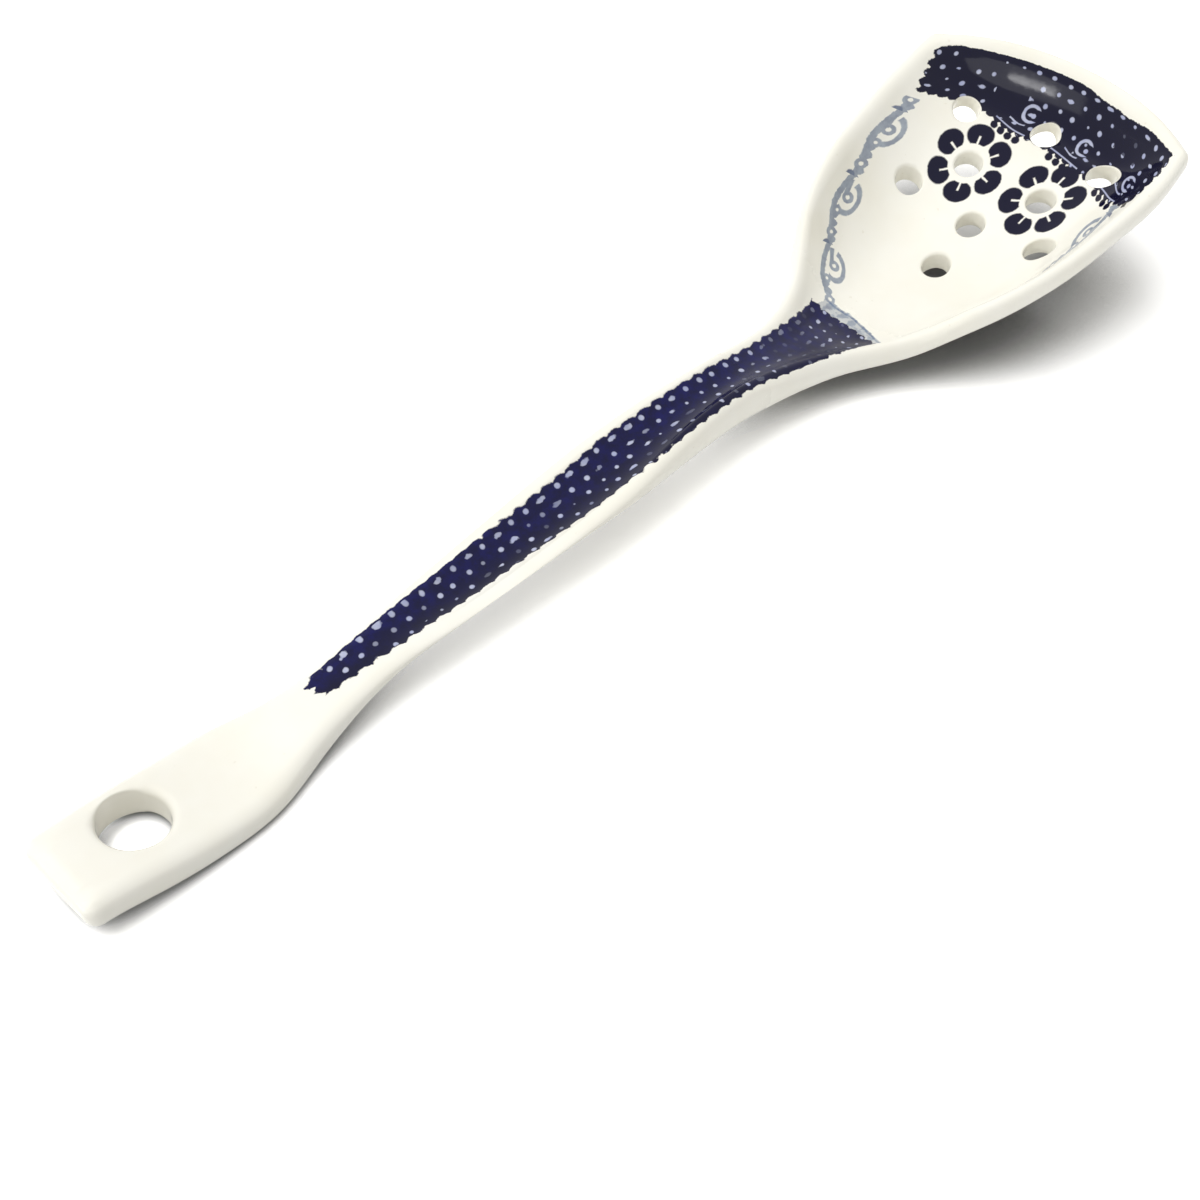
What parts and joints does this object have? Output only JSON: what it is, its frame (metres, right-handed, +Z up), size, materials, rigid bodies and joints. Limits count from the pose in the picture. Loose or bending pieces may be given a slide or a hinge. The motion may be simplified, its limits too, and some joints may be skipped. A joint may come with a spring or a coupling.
{
  "type": "slotted serving spoon",
  "caption": "Glazed stoneware serving spoon with a shovel-shaped pierced bowl, a grooved handle and a flat grip with a hanging hole.",
  "frame": {"origin": "centre of the bounding box's underside, on the surface that the spoon lies on", "axes": "+X along the spoon from the grip to the front of the bowl, +Y across it, +Z up out of the bowl"},
  "size_m": [0.31, 0.0792, 0.04],
  "materials": {
    "cream_glaze": "glossy clear glaze over cream-white stoneware",
    "cobalt_glaze": "glossy clear glaze over cobalt underglaze decoration"
  },
  "bodies": {
    "root": {"grip": "cream_glaze", "shank": "cobalt_glaze", "neck": "cobalt_glaze", "bowl": "cream_glaze"}
  },
  "joints": []
}
